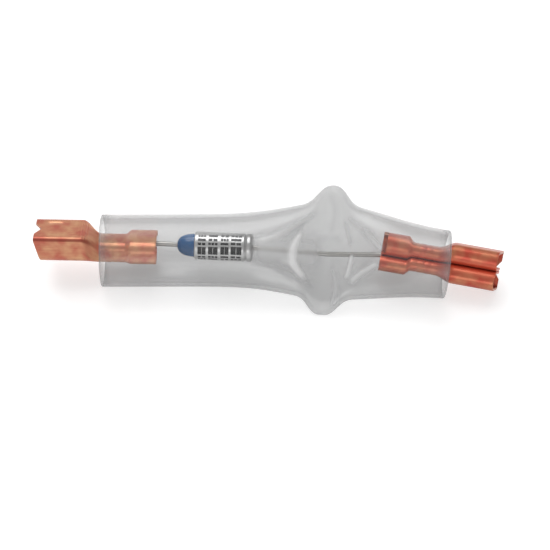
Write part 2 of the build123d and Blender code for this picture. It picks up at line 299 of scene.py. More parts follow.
def copper_sheet(name, red, tan):
    """Bare copper strip, rolled and stamped: a satin grain along the strip, and broken edges.

    It has tarnished from red to tan, and a thin oxide film scatters a part of the light.
    """
    material, output = new_material(name)
    tree = material.node_tree
    strip = add_node(tree, "ShaderNodeAttribute", attribute_name="strip")
    edge = add_node(tree, "ShaderNodeAttribute", attribute_name="edge")
    bend = add_node(tree, "ShaderNodeAttribute", attribute_name="bend")
    # the rolls leave streaks 0.25 mm apart, drawn that coarse so that they show
    stretch = add_node(
        tree, "ShaderNodeMapping", {"Vector": strip.outputs["Vector"], "Scale": (0.08, 1.0, 1.0)}
    )
    grain = add_node(
        tree,
        "ShaderNodeTexNoise",
        {"Vector": stretch.outputs[0], "Scale": 1 / (0.25 * MM), "Detail": 4.0},
    )
    # handling leaves clouds of tan and red tarnish, 2 mm across
    clouds = add_node(
        tree,
        "ShaderNodeTexNoise",
        {"Vector": strip.outputs["Vector"], "Scale": 1 / (2.2 * MM), "Detail": 2.0},
    )
    tarnish = add_node(
        tree,
        "ShaderNodeMapRange",
        {"Value": clouds.outputs[0], "From Min": 0.35, "From Max": 0.65},
    )
    tone = add_node(
        tree,
        "ShaderNodeMix",
        {0: tarnish.outputs[0], 6: red, 7: tan},
        data_type="RGBA",
    )
    streaks = add_node(
        tree,
        "ShaderNodeMapRange",
        {"Value": grain.outputs[0], "From Min": 0.3, "From Max": 0.7, "To Max": 0.25},
    )
    streaked = add_node(
        tree,
        "ShaderNodeMix",
        {0: streaks.outputs[0], 6: tone.outputs[2], 7: linear("#9c4430")},
        data_type="RGBA",
    )
    worn = add_node(
        tree,
        "ShaderNodeMath",
        {0: edge.outputs["Fac"], 1: 0.55},
        operation="MULTIPLY",
    )
    surface = add_node(
        tree,
        "ShaderNodeMix",
        {0: worn.outputs[0], 6: streaked.outputs[2], 7: linear("#d9a084")},
        data_type="RGBA",
    )
    # the sharp bends are painted dark red: a painted shade along the bend lines
    surface = add_node(
        tree,
        "ShaderNodeMix",
        {0: bend.outputs["Fac"], 6: surface.outputs[2], 7: linear("#8c3a2e")},
        data_type="RGBA",
    )
    # where the rolls turn into the seam, the copper is painted a brighter red: painted light against the
    # shade in that valley
    shielded = add_node(tree, "ShaderNodeAttribute", attribute_name="shielded")
    surface = add_node(
        tree,
        "ShaderNodeMix",
        {0: shielded.outputs["Fac"], 6: surface.outputs[2], 7: linear("#dc6e52")},
        data_type="RGBA",
    )
    roughness = add_node(
        tree,
        "ShaderNodeMapRange",
        {"Value": grain.outputs[0], "To Min": 0.27, "To Max": 0.40},
    )
    # stretching over a sharp bend has roughened the copper
    roughness = add_node(
        tree,
        "ShaderNodeMath",
        {0: bend.outputs["Fac"], 1: 0.35, 2: roughness.outputs[0]},
        operation="MULTIPLY_ADD",
    )
    bump = add_node(
        tree,
        "ShaderNodeBump",
        {"Height": grain.outputs[0], "Strength": 0.3, "Distance": 0.02 * MM},
    )
    shader = add_node(
        tree,
        "ShaderNodeBsdfPrincipled",
        {
            "Base Color": surface.outputs[2],
            "Metallic": 0.5,
            "Roughness": roughness.outputs[0],
            "Normal": bump.outputs[0],
        },
    )
    return finish_material(material, output, shader)


def rest_matrix():
    """From the plane of the fold to the row frame, by the place of the pellet's middle."""
    scene = bpy.context.scene
    roll = Matrix.Rotation(scene.fuse_stage.rest_roll, 4, "X")
    axes, origin = case_frame(scene.fuse_cutoff, scene.fuse_terminals)
    drawn = Vector(origin + axes[0] * scene.fuse_cutoff.pellet_middle)
    low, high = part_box("thermal_pellet")
    return Matrix.Translation((Vector(low) + Vector(high)) / 2 - roll @ drawn) @ roll


def to_row(points):
    """Points of the fold's plane, as an array with x, y and z last, in the row frame."""
    matrix = np.array(rest_matrix())
    return points @ matrix[:3, :3].T + matrix[:3, 3]


def grid_faces(rows, columns, first, closed=False, flip=False):
    """Four-sided faces between the rows of a grid of points."""
    row, column = np.meshgrid(
        np.arange(rows - 1), np.arange(columns if closed else columns - 1), indexing="ij"
    )
    beside = (column + 1) % columns
    corners = [
        row * columns + column,
        row * columns + beside,
        (row + 1) * columns + beside,
        (row + 1) * columns + column,
    ]
    faces = np.stack(corners, -1).reshape(-1, 4) + first
    return faces[:, ::-1] if flip else faces


def add_piece(name, points, faces, material, slot, **attributes):
    """Makes a smooth mesh in the row frame, which rides on the part."""
    mesh = bpy.data.meshes.new(name)
    mesh.from_pydata(points.reshape(-1, 3).tolist(), [], [f.tolist() for f in faces])
    mesh.polygons.foreach_set("use_smooth", [True] * len(mesh.polygons))
    for attribute, values in attributes.items():
        values = np.asarray(values, float)
        vector = values.ndim == 2
        layer = mesh.attributes.new(attribute, "FLOAT_VECTOR" if vector else "FLOAT", "POINT")
        layer.data.foreach_set("vector" if vector else "value", values.ravel())
    mesh.materials.append(material)
    piece = bpy.data.objects.new(name, mesh)
    bpy.context.scene.collection.objects.link(piece)
    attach(piece, "root")
    return piece


POINTS_ROUND = 216  # of the sleeve's mesh, round each station
FINE_STEPS = 2880  # of the outline that those points are spaced on
FINE_REACH = 12 * MM  # on both sides of the fold, where the stations lie close together
RIM_STATIONS = np.array([0.0, 0.1, 0.3, 0.5, 0.8, 1.1]) * MM  # from both cut ends
RIM_ROUNDING = 0.1 * MM  # how much thinner the wall is at the cut ends
RIM_REACH = 1.1 * MM  # how far the cut ends are dulled
SIDE_CRISPNESS = 7.0  # how quickly the flattened tube's flats turn into its round sides
FLANK = 1 / 3  # of the half height, over which the creases fade towards the sides
CREASE_FADE = 0.2  # of a crease's run, over which it fades at each end
STRAIN_AND_HIGHLIGHT_SPREAD = 0.6  # under 1, a crease is milky, partly as a painted highlight, further out than it stands proud
RELIEF_BEHIND = 0.7  # of the creases' height on the side behind the fold
STRAIN_AND_HIGHLIGHT_BEHIND = 0.15  # of their milkiness there, which is partly a painted highlight
SHADE_LEAN = 0.22  # over 0, the painted shade reaches further round the near side than round the far side
SHADE_EDGE = 0.3  # of the half height, over which the painted shade sets in
INNER_HAZE = 0.15  # the inner skin's haze as a share of the outer skin's, which is scuffed


def sleeve_section(sizes, x):
    """Half width, half height, side, rise and skew of the outer skin, at x from the fold."""
    left = x < 0
    away = np.abs(x)
    reached = away / np.where(left, sizes.left_length, sizes.right_length)
    flare_reach = np.where(left, sizes.left_flare, sizes.right_flare)
    flat_reach = np.where(left, sizes.left_flat, sizes.right_flat)
    ear = np.exp(-((away / sizes.ear_reach) ** sizes.ear_bluntness))
    flare = np.exp(-((away / flare_reach) ** 2)) * (1 - reached**4)
    flat = np.exp(-((away / flat_reach) ** 1.5))
    radius = sizes.tube_radius
    width = radius + (np.where(left, radius, sizes.right_half_width) - radius) * reached
    height = radius + (np.where(left, radius, sizes.right_half_height) - radius) * reached
    spread = sizes.ear_share * ear + (1 - sizes.ear_share) * flare
    width = width + (sizes.fold_half_width - width) * spread
    height = height + (sizes.fold_half_height - height) * flat
    side = reached * np.where(left, sizes.left_side, sizes.right_side)
    rise = reached * np.where(left, 0.0, sizes.right_rise)
    skew = sizes.fold_skew * np.where(left, flare, 1.0)
    return width, height, side, rise, skew


def ring(half_width, half_height):
    """Evenly spaced points round a flattened tube: two round sides with a flat between them."""
    turns = np.linspace(0, 2 * pi, FINE_STEPS, endpoint=False)
    flat = max(half_width - half_height, 0.0)
    wide = flat * np.tanh(SIDE_CRISPNESS * np.cos(turns)) / tanh(SIDE_CRISPNESS)
    wide += (half_width - flat) * np.cos(turns)
    high = half_height * np.sin(turns)
    steps = np.hypot(np.diff(wide, append=wide[0]), np.diff(high, append=high[0]))
    reach = np.concatenate([[0.0], np.cumsum(steps)])
    even = np.linspace(0, reach[-1], POINTS_ROUND, endpoint=False)
    return (
        np.interp(even, reach, np.append(wide, wide[0])),
        np.interp(even, reach, np.append(high, high[0])),
    )


# Creases of the vinyl in the plane of the fold, in millimetres. Each has the points that it runs through,
# its height, its width to the left and to the right of that run, and how milky it is, a milkiness that is
# partly stress whitening and partly a painted highlight.
CREASES = {
    "upper left ridge": (
        [(-4.5, 1.0), (-1.9, 1.35), (0.0, 1.90), (1.7, 2.80), (3.3, 3.7), (5.0, 4.75), (6.4, 5.8)],
        (0.12, 0.40, 0.40, 0.55),
    ),
    "squeezed flank": (
        [(-4.0, 0.0), (-1.0, -0.2), (2.0, -0.4), (4.5, -0.6), (7.4, -0.9)],
        (0.0, 1.7, 1.7, 0.60),
    ),
    "left hinge": (
        [(4.2, 3.1), (3.5, 2.0), (2.9, 0.5), (2.65, -1.1), (3.0, -2.4), (3.6, -3.4), (4.6, -4.7)],
        (0.16, 0.25, 0.50, 0.95),
    ),
    "lower left ridge": (
        [(0.4, -1.3), (2.0, -2.0), (3.4, -3.0), (4.4, -4.4), (5.4, -6.2)],
        (0.08, 0.35, 0.45, 0.25),
    ),
    "right hinge": (
        [(10.9, -0.2), (10.6, -1.7), (10.25, -3.1), (9.8, -4.5)],
        (0.12, 0.35, 0.18, 0.8),
    ),
    "right upper ridge": (
        [(12.2, 3.2), (13.3, 1.9), (14.4, 0.6), (15.2, -0.4)],
        (0.08, 0.40, 0.45, 0.5),
    ),
    "right lower ridge": (
        [(14.8, -1.6), (13.3, -2.55), (11.7, -3.6), (10.1, -5.2)],
        (0.10, 0.50, 0.40, 0.7),
    ),
    "lower ear pleat": (
        [(7.6, -1.6), (8.3, -3.6), (8.6, -5.4), (8.2, -7.2), (7.9, -8.4)],
        (0.10, 0.45, 0.30, 0.45),
    ),
    "lower ear inner pleat": (
        [(6.6, -4.6), (6.6, -6.4), (6.9, -8.0)],
        (-0.06, 0.30, 0.30, 0.0),
    ),
    "middle pleat": (
        [(5.6, 1.35), (7.6, 1.6), (9.8, 1.35)],
        (0.05, 0.40, 0.40, 0.25),
    ),
    "upper ear pleat": (
        [(9.9, 3.2), (10.0, 5.0), (9.6, 7.0)],
        (-0.06, 0.30, 0.40, 0.0),
    ),
}


def smooth_run(corners, steps=10):
    """Points along a smooth line through the corners."""
    corners = np.array(corners, float)
    padded = np.vstack([2 * corners[0] - corners[1], corners, 2 * corners[-1] - corners[-2]])
    share_along = np.linspace(0, 1, steps, endpoint=False)[:, None]
    run = []
    for before, start, end, after in zip(padded, padded[1:], padded[2:], padded[3:]):
        bend = 2 * before - 5 * start + 4 * end - after
        twist = -before + 3 * start - 3 * end + after
        run.append(
            start
            + 0.5 * share_along * ((end - before) + share_along * (bend + share_along * twist))
        )
    return np.vstack(run + [corners[-1:]])


def beside_run(run, x, y):
    """Distance of each point from a run, positive on its left, and how far along it the point is."""
    nearest = np.full(x.shape, 1e9)
    distance = np.zeros(x.shape)
    along = np.zeros(x.shape)
    for index, (start, end) in enumerate(zip(run, run[1:])):
        way = end - start
        length = np.hypot(*way)
        reached = np.clip(((x - start[0]) * way[0] + (y - start[1]) * way[1]) / length**2, 0, 1)
        off_x = x - start[0] - reached * way[0]
        off_y = y - start[1] - reached * way[1]
        gap = np.hypot(off_x, off_y)
        closer = gap < nearest
        side = np.sign(way[0] * off_y - way[1] * off_x)
        nearest = np.where(closer, gap, nearest)
        distance = np.where(closer, gap * side, distance)
        along = np.where(closer, (index + reached) / (len(run) - 1), along)
    return distance, along


def creased(x, y, mirror=1.0):
    """Height of the creases in metres and how milky they are, at points of the fold's plane."""
    height = np.zeros(x.shape)
    strain_and_highlight = np.zeros(x.shape)
    for corners, (tall, left_width, right_width, milky) in CREASES.values():
        run = smooth_run(corners) * MM
        distance, along = beside_run(run, x, y * mirror)
        width = np.where(distance > 0, left_width, right_width) * MM
        fade = smooth_step(np.minimum(along, 1 - along), 0, CREASE_FADE)
        near = (distance / width) ** 2
        height += tall * MM * np.exp(-near) * fade
        strain_and_highlight += milky * np.exp(-STRAIN_AND_HIGHLIGHT_SPREAD * near) * fade
    return height, np.clip(strain_and_highlight, 0, 1)


def sleeve_skin(sizes):
    """The outer skin's points, their shares of the height and width, and the stations' distance
    from the nearer end, all in the plane of the fold."""
    left, right = sizes.left_length, sizes.right_length
    rim_end = 1.5 * MM
    x = np.concatenate(
        [
            RIM_STATIONS - left,
            np.linspace(rim_end - left, -FINE_REACH, 34, endpoint=False),
            np.linspace(-FINE_REACH, FINE_REACH, 128, endpoint=False),
            np.linspace(FINE_REACH, right - rim_end, 10),
            right - RIM_STATIONS[::-1],
        ]
    )
    width, height, side, rise, skew = sleeve_section(sizes, x)
    outlines = [ring(w, h) for w, h in zip(width, height)]
    wide = np.array([outline[0] for outline in outlines])
    high = np.array([outline[1] for outline in outlines])
    skin = np.stack(
        [
            sizes.fold_x + x[:, None] + wide * np.sin(skew)[:, None],
            side[:, None] + wide * np.cos(skew)[:, None],
            rise[:, None] + high,
        ],
        -1,
    )
    from_end = np.minimum(x + left, right - x)
    return skin, high / height[:, None], wide / width[:, None], from_end


def grid_normals(points):
    """Outward unit normals of a closed skin."""
    along = np.gradient(points, axis=0)
    around = np.roll(points, -1, axis=1) - np.roll(points, 1, axis=1)
    normals = np.cross(around, along)
    return normals / np.linalg.norm(normals, axis=-1, keepdims=True)


def build_sleeve(sizes):
    """Thin creased tube with thinned rims: its points in the row frame, its faces and its looks."""
    skin, facing, across, from_end = sleeve_skin(sizes)
    normals = grid_normals(skin)
    front = np.clip(facing / FLANK, 0, 1)
    back = np.clip(-facing / FLANK, 0, 1)
    tall, strain_and_highlight = creased(skin[..., 0], skin[..., 1])
    tall_behind, strain_and_highlight_behind = creased(skin[..., 0], skin[..., 1], -1.0)
    # the creases' milkiness is partly stress whitening and partly a painted highlight
    relief = tall * front + RELIEF_BEHIND * tall_behind * back
    strain_and_highlight = strain_and_highlight * front + STRAIN_AND_HIGHLIGHT_BEHIND * strain_and_highlight_behind * back
    skin = skin + normals * relief[..., None]
    normals = grid_normals(skin)
    half_wall = sizes.wall / 2
    middle = skin - normals * half_wall
    depth = np.full(skin.shape[:2], half_wall)
    depth[[0, -1]] -= RIM_ROUNDING
    outer = to_row(middle + normals * depth[..., None])
    inner = to_row(middle - normals * depth[..., None])
    # it rests on the table, so its underside is flat there
    outer[..., 2] = np.maximum(outer[..., 2], 0.0)
    inner[..., 2] = np.maximum(inner[..., 2], sizes.wall)
    rows, columns = outer.shape[:2]
    count = rows * columns
    faces = [
        grid_faces(rows, columns, 0, closed=True, flip=True),
        grid_faces(rows, columns, count, closed=True),
    ]
    column = np.arange(columns)
    beside = (column + 1) % columns
    last = (rows - 1) * columns
    faces.append(np.stack([column, beside, count + beside, count + column], -1)[:, ::-1])
    faces.append(
        np.stack([last + column, last + beside, count + last + beside, count + last + column], -1)
    )
    # painted shade: the side behind the fold turns greyer and more opaque, standing for the shade under the
    # tube
    underside_shade_mask = smooth_step(-facing - SHADE_LEAN * across, -SHADE_EDGE, SHADE_EDGE)
    rim = np.exp(-((from_end / RIM_REACH) ** 2))[:, None] * (1 - underside_shade_mask)
    points = np.concatenate([outer.reshape(-1, 3), inner.reshape(-1, 3)])
    clear = np.zeros(count)
    attributes = {
        "strain_and_highlight": np.concatenate([strain_and_highlight.ravel(), clear]),
        "rim": np.concatenate([rim.ravel(), clear]),
        "underside_shade_mask": np.concatenate([underside_shade_mask.ravel(), clear]),
        "haze": np.concatenate([clear + 1, clear + INNER_HAZE]),
    }
    return points, np.concatenate(faces), attributes


class FUSE_OT_sleeve(bpy.types.Operator):
    """Makes the clear sleeve with its fold, ears and creases"""

    bl_idname = "fuse.sleeve"
    bl_label = "Clear sleeve"

    def execute(self, context):
        sizes = context.scene.fuse_sleeve
        points, faces, attributes = build_sleeve(sizes)
        vinyl = soft_vinyl(sizes)
        piece = add_piece("clear_sleeve", points, faces, vinyl, "clear_vinyl", **attributes)
        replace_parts(piece, "insulating_sleeve")
        return {"FINISHED"}


# Along a terminal, in millimetres from its insulation grip
STEP = (3.6, 4.5)  # down to the wire grip
SHOULDER = (8.0, 10.6)  # up to the receptacle
SHARP_CORNERS = (8.5, 10.5)  # where the round corners of the grips have become sharp bends
MOUTH_ZONE = 13.0  # from here on, the stations lean over to the slanted mouth
SETBACK_ZONE = 1.4  # up to here, they lean back to the wing that is cut shorter

# Marks that the tools leave in a terminal, in millimetres: where each begins and is complete along
# it, and how deep it is
FLOOR_HALF_WIDTH = 2.3  # of the flat of the floor, which takes the ridges and the detent
RIDGES_BEGIN = (9.4, 9.8)
RIDGES_END = (11.2, 11.7)
RIDGE_PITCH = 0.42
RIDGE_CREST = 10.5
RIDGE_HEIGHT = 0.05
DETENT_BEGIN = (13.2, 13.5)
DETENT_END = (15.4, 15.7)
DETENT_SIDE = 1.55
DETENT_WIDTH = 0.16
DETENT_DEPTH = 0.10
WITNESS_LINES = ((6.3, 0.05), (5.3, 0.04), (7.3, 0.04))
WITNESS_WIDTH = 0.12

SECTION_STEPS = 64  # of a terminal's mesh, over half of its section


def strip_stations(sizes):
    """Stations along the strip, close together where its section changes and at its broken ends."""
    margin = 0.1
    start, end = STEP[0] - margin, STEP[1] + margin
    spans = [
        (0.0, start, 14),
        (start, end, 14),
        (end, SHOULDER[0], 18),
        (*SHOULDER, 30),
        (SHOULDER[1], sizes.length / MM, 40),
    ]
    inner = np.concatenate([np.linspace(a, z, n, endpoint=False) for a, z, n in spans]) * MM
    return np.concatenate(
        [[0.0, sizes.edge], inner[1:], [sizes.length - sizes.edge, sizes.length]]
    )


def strip_form(x):
    """The strip's section at each station: width, height, corner, floor, seam and lip."""
    step = smooth_step(x / MM, *STEP)
    shoulder = smooth_step(x / MM, *SHOULDER)
    # each in the insulation grip, the wire grip and the receptacle, in millimetres
    sections = {
        "width": (5.5, 4.0, 5.7),
        "height": (3.4, 3.2, 4.2),
        "corner": (1.4, 1.0, 0.6),
        "base": (-0.4, 0.0, -1.5),
        "seam_at": (-0.55, 0.0, 0.0),
        "lip": (1.14, 1.14, -0.4),
    }
    return {
        name: MM * (a + (b - a) * step + (c - b) * shoulder)
        for name, (a, b, c) in sections.items()
    }


def strip_side(sizes, form, side):
    """One half of the strip's middle surface, from the floor's middle to a wing's lip.

    Gives y, z, the normal's y and z, the distance from the floor's middle, how sharply it is bent there, and
    where the roll turns into the seam, which gets painted light against the shade there.
    """
    t, gap = sizes.sheet, sizes.seam
    half = form["width"] / 2 - t / 2
    radius = form["corner"] - t / 2
    floor = form["base"] + t / 2
    seam_at = side * form["seam_at"]
    curl = (form["width"] / 2 - seam_at - gap / 2) / 2 - t / 2
    curl_height = form["base"] + form["height"] - curl - t / 2
    flat = half - radius
    bend = radius * pi / 2
    upright = curl_height - floor - radius
    roll = pi * curl
    length = flat + bend + upright + roll + curl_height - form["lip"]
    spread = np.linspace(0, 1, SECTION_STEPS)[None, :] * (length - sizes.edge)[:, None]
    s = np.concatenate([spread, length[:, None]], axis=1)

    def column(values):
        return values[:, None]

    in_bend = np.clip((s - column(flat)) / column(radius), 0, pi / 2)
    in_upright = np.clip(s - column(flat + bend), 0, column(upright))
    in_roll = np.clip((s - column(flat + bend + upright)) / column(curl), 0, pi)
    in_lip = np.maximum(s - column(flat + bend + upright + roll), 0)
    y = np.minimum(s, column(flat)) + column(radius) * np.sin(in_bend)
    y -= column(curl) * (1 - np.cos(in_roll))
    z = column(floor) + column(radius) * (1 - np.cos(in_bend)) + in_upright
    z += column(curl) * np.sin(in_roll) - in_lip
    turn = in_bend + in_roll
    # where the roll turns into the seam: painted light against the shade in that valley
    shielded = smooth_step(in_roll, 0.5 * pi, 0.8 * pi)
    return y, z, np.sin(turn), -np.cos(turn), s, np.sin(2 * in_bend) ** 2, shielded


def strip_surface(sizes):
    """The folded strip: its middle surface, normals, distance from the floor's middle, half thickness, where
    it is sharply bent, and where the roll turns into the seam for painted light."""
    x = strip_stations(sizes)
    form = strip_form(x)
    halves = [strip_side(sizes, form, side) for side in (-1, 1)]
    left = [values[:, :0:-1] for values in halves[0]]
    y = np.concatenate([-left[0], halves[1][0]], axis=1)
    z = np.concatenate([left[1], halves[1][1]], axis=1)
    normal_y = np.concatenate([-left[2], halves[1][2]], axis=1)
    normal_z = np.concatenate([left[3], halves[1][3]], axis=1)
    s = np.concatenate([-left[4], halves[1][4]], axis=1)
    bend = np.concatenate([left[5], halves[1][5]], axis=1)
    bend *= smooth_step(x / MM, *SHARP_CORNERS)[:, None]
    shielded = np.concatenate([left[6], halves[1][6]], axis=1)
    along = np.repeat(x[:, None], y.shape[1], axis=1)

    floor_top = (form["base"] + sizes.sheet)[:, None]
    rolls_top = (form["base"] + form["height"])[:, None]
    slanted = np.clip((z - floor_top) / (rolls_top - floor_top), 0, 1)
    notch = np.clip(1 - np.abs(y) / (sizes.notch_width / 2), 0, 1) * (z < floor_top)
    end = sizes.length - sizes.mouth_slant * slanted - sizes.notch_depth * notch
    zone = MOUTH_ZONE * MM
    reached = np.clip((along - zone) / (sizes.length - zone), 0, 1)
    along = np.where(along > zone, zone + (end - zone) * reached, along)

    short_wing = (y > 0) & (z > 1.0 * MM)
    setback = sizes.setback * short_wing * np.clip(1 - along / (SETBACK_ZONE * MM), 0, 1)
    along = along + setback

    points = np.stack([along, y, z], -1)
    normals = np.stack([np.zeros_like(y), normal_y, normal_z], -1)
    half = np.full(y.shape, sizes.sheet / 2)
    half[[0, -1]] = sizes.sheet / 2 - sizes.edge
    half[:, [0, -1]] = sizes.sheet / 2 - sizes.edge
    return points, normals, s, half, bend, shielded


def coined(points, s):
    """Height of the tool marks on the strip: stop ridges, a detent and the grips' witness lines."""
    x = points[..., 0] / MM
    y = points[..., 1] / MM
    s = np.abs(s) / MM
    on_floor = s < FLOOR_HALF_WIDTH
    ridges = RIDGE_HEIGHT * np.cos(2 * pi * (x - RIDGE_CREST) / RIDGE_PITCH)
    ridges *= smooth_step(x, *RIDGES_BEGIN) * (1 - smooth_step(x, *RIDGES_END)) * on_floor
    detent = -DETENT_DEPTH * np.exp(-(((y - DETENT_SIDE) / DETENT_WIDTH) ** 2))
    detent *= smooth_step(x, *DETENT_BEGIN) * (1 - smooth_step(x, *DETENT_END)) * on_floor
    witness = sum(-deep * np.exp(-(((x - at) / WITNESS_WIDTH) ** 2)) for at, deep in WITNESS_LINES)
    return (ridges + detent + witness) * MM


def along_frame(origin, along, turn):
    """Frame with its x along a piece, and its z turned about that from square to the fold."""
    up = Vector((0, -sin(turn), cos(turn)))
    up = (up - along * up.dot(along)).normalized()
    across = up.cross(along)
    return np.array([along, across, up]), np.array(origin)


def direction(toward, climb, rise=0.0):
    """Unit vector along X or back, turned up in the fold's plane and then out of it."""
    return Vector((toward * cos(climb) * cos(rise), sin(climb) * cos(rise), sin(rise)))


def left_frame(sizes):
    """Frame of the left terminal in the plane of the fold."""
    origin = (sizes.left_x, sizes.left_y, sizes.left_z)
    return along_frame(origin, direction(-1, sizes.left_climb), sizes.left_turn)


def right_frame(sizes):
    """Frame of the right terminal in the plane of the fold."""
    origin = (sizes.right_x, sizes.right_y, sizes.right_z)
    way = direction(1, sizes.right_climb, sizes.right_rise)
    return along_frame(origin, way, sizes.right_turn)


def add_terminal(name, node, placed, material, sizes):
    """Makes one folded copper terminal in its frame."""
    points, normals, s, half, bend, shielded = strip_surface(sizes)
    marks = coined(points, s)[..., None]
    axes, origin = placed
    outer = points + normals * (half[..., None] + marks)
    inner = points - normals * (half[..., None] - marks)
    rows, columns = half.shape
    count = rows * columns
    faces = [
        grid_faces(rows, columns, 0),
        grid_faces(rows, columns, count, flip=True),
    ]
    lines = [
        (np.arange(columns), True),
        (np.arange(columns) + (rows - 1) * columns, False),
        (np.arange(rows) * columns, False),
        (np.arange(rows) * columns + columns - 1, True),
    ]
    for line, flip in lines:
        side = np.stack([line[:-1], line[1:], count + line[1:], count + line[:-1]], -1)
        faces.append(side if flip else side[:, ::-1])
    edge = np.zeros((rows, columns))
    edge[[0, -1]] = 1.0
    edge[:, [0, -1]] = 1.0
    flat = np.stack([points[..., 0], s, np.zeros_like(s)], -1).reshape(-1, 3)
    both = np.concatenate([outer.reshape(-1, 3), inner.reshape(-1, 3)])
    piece = add_piece(
        name,
        to_row(both @ axes + origin),
        np.concatenate(faces),
        material,
        "copper",
        edge=np.tile(edge.ravel(), 2),
        bend=np.tile(bend.ravel(), 2),
        shielded=np.tile(shielded.ravel(), 2),
        strip=np.tile(flat, (2, 1)),
    )
    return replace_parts(piece, node)


class FUSE_OT_terminals(bpy.types.Operator):
    """Makes the two push-on terminals, each folded from one copper strip"""

    bl_idname = "fuse.terminals"
    bl_label = "Push-on terminals"

    def execute(self, context):
        sizes = context.scene.fuse_terminals
        left = copper_sheet("copper_strip_tarnished", sizes.left_red, sizes.left_tan)
        right = copper_sheet("copper_strip_rolled", sizes.right_red, sizes.right_tan)
        add_terminal("left_push_on", "left_terminal", left_frame(sizes), left, sizes)
        add_terminal("right_push_on", "right_terminal", right_frame(sizes), right, sizes)
        return {"FINISHED"}


def plain_finish(name, tone, other, spacing, **sockets):
    """A finish with one fine pattern between two tones, spaced by a real size."""
    material, output = new_material(name)
    tree = material.node_tree
    place = add_node(tree, "ShaderNodeTexCoord")
    pattern = add_node(
        tree,
        "ShaderNodeTexNoise",
        {"Vector": place.outputs["Object"], "Scale": 1 / spacing, "Detail": 3.0},
    )
    body = add_node(
        tree,
        "ShaderNodeMix",
        {0: pattern.outputs[0], 6: tone, 7: other},
        data_type="RGBA",
    )
    bump = add_node(
        tree,
        "ShaderNodeBump",
        {"Height": pattern.outputs[0], "Strength": 0.2, "Distance": 0.01 * MM},
    )
    inputs = {"Base Color": body.outputs[2], "Normal": bump.outputs[0]}
    inputs.update({socket.replace("_", " "): value for socket, value in sockets.items()})
    shader = add_node(tree, "ShaderNodeBsdfPrincipled", inputs)
    return finish_material(material, output, shader)


def dress(node, material):
    """Gives a solid its finish."""
    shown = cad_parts[node]
    shown.data.materials.clear()
    shown.data.materials.append(material)


class FUSE_OT_cutoff(bpy.types.Operator):
    """Finishes the silver case, its seal and leads, and what the case holds"""

    bl_idname = "fuse.cutoff"
    bl_label = "Cutoff and leads"

    def execute(self, context):
        fuse = context.scene.fuse_cutoff
        # silver plate on drawn brass: bright and nearly smooth, with drawing lines 0.1 mm apart
        silver = plain_finish(
            "silver_plate_drawn",
            fuse.plate_light,
            fuse.plate_dark,
            0.1 * MM,
            Metallic=1.0,
            Roughness=0.33,
        )
        # tin dipped on copper wire: greyer and duller than the plate
        tin = plain_finish(
            "tinned_wire_drawn",
            linear("#b0aeab"),
            linear("#9b9996"),
            0.3 * MM,
            Metallic=1.0,
            Roughness=0.4,
        )
        # epoxy poured and cured: glossy, with pigment clouds 0.8 mm across
        epoxy = plain_finish(
            "epoxy_cast", fuse.seal_light, fuse.seal_dark, 0.8 * MM, Roughness=0.2, IOR=1.55
        )
        # alumina fired: chalk white and dull, with grain drawn 0.2 mm across
        ceramic = plain_finish(
            "alumina_fired", linear("#efece4"), linear("#e2ded3"), 0.2 * MM, Roughness=0.7
        )
        # spring steel drawn: dark grey and satin
        steel = plain_finish(
            "spring_steel_drawn",
            linear("#8f8f92"),
            linear("#77777b"),
            0.2 * MM,
            Metallic=1.0,
            Roughness=0.35,
        )
        # organic powder pressed: waxy cream, with grain 0.15 mm across
        pellet = plain_finish(
            "organic_pellet_pressed", linear("#ded6bd"), linear("#cfc6a9"), 0.15 * MM, Roughness=0.8
        )
        for node, material in (
            ("fuse_case", silver),
            ("isolated_lead", tin),
            ("case_lead", tin),
            ("epoxy_seal", epoxy),
            ("ceramic_bushing", ceramic),
            ("star_contact", silver),
            ("trip_spring", steel),
            ("contact_disc", steel),
            ("main_spring", steel),
            ("pellet_disc", steel),
            ("thermal_pellet", pellet),
        ):
            dress(node, material)
        return {"FINISHED"}


def case_frame(fuse, terminals):
    """Frame of the case in the plane of the fold, with its x from the mouth to the closed end."""
    axes, origin = left_frame(terminals)
    bend = origin + np.array([-fuse.lead_entry, 0, fuse.lead_height]) @ axes
    way = direction(1, fuse.climb, fuse.rise)
    return along_frame(bend + np.array(way) * (fuse.standoff + fuse.seal_length), way, 0.0)


# Generic marks on the case: where their columns start and end along it, in millimetres, and the
# degrees round it that each row covers. A row's third value sets how its blocks are split, which
# changes from column to column; a row with none has solid blocks in two parts.
INK_COLUMNS = [(0.55, 1.75), (2.05, 3.45), (3.8, 5.0), (5.25, 6.85)]
INK_ROWS = [(162, 152, 2), (146, 135, 1), (127, 93, None), (86, 76, 1), (69, 58, 0), (50, 38, 2)]
INK_SHIFT = 2.0  # degrees from column to column
INK_FILL = 0.80  # of a split block that is inked
INK_SOLID = 0.93  # of a block that isn't split, or is in the solid row
INK_SHEEN_FADE = (60, 84)  # degrees round the case between which the ink goes from grey to solid, the grey being a painted highlight
INK_BENDS = 5  # points round each bar


def ink_bars():
    """Blocks of the generic lot marks, as a start and an end along the case and round it."""
    bars = []
    middle = (len(INK_COLUMNS) - 1) / 2
    for column, (start, end) in enumerate(INK_COLUMNS):
        for top, bottom, split in INK_ROWS:
            parts = 2 if split is None else (split + column) % 3 + 1
            shift = INK_SHIFT * (column - middle)
            pitch = (end - start) / parts
            filled = pitch * (INK_SOLID if split is None or parts == 1 else INK_FILL)
            for part in range(parts):
                left = start + pitch * part
                bars.append((left, left + filled, top - shift, bottom - shift))
    return bars


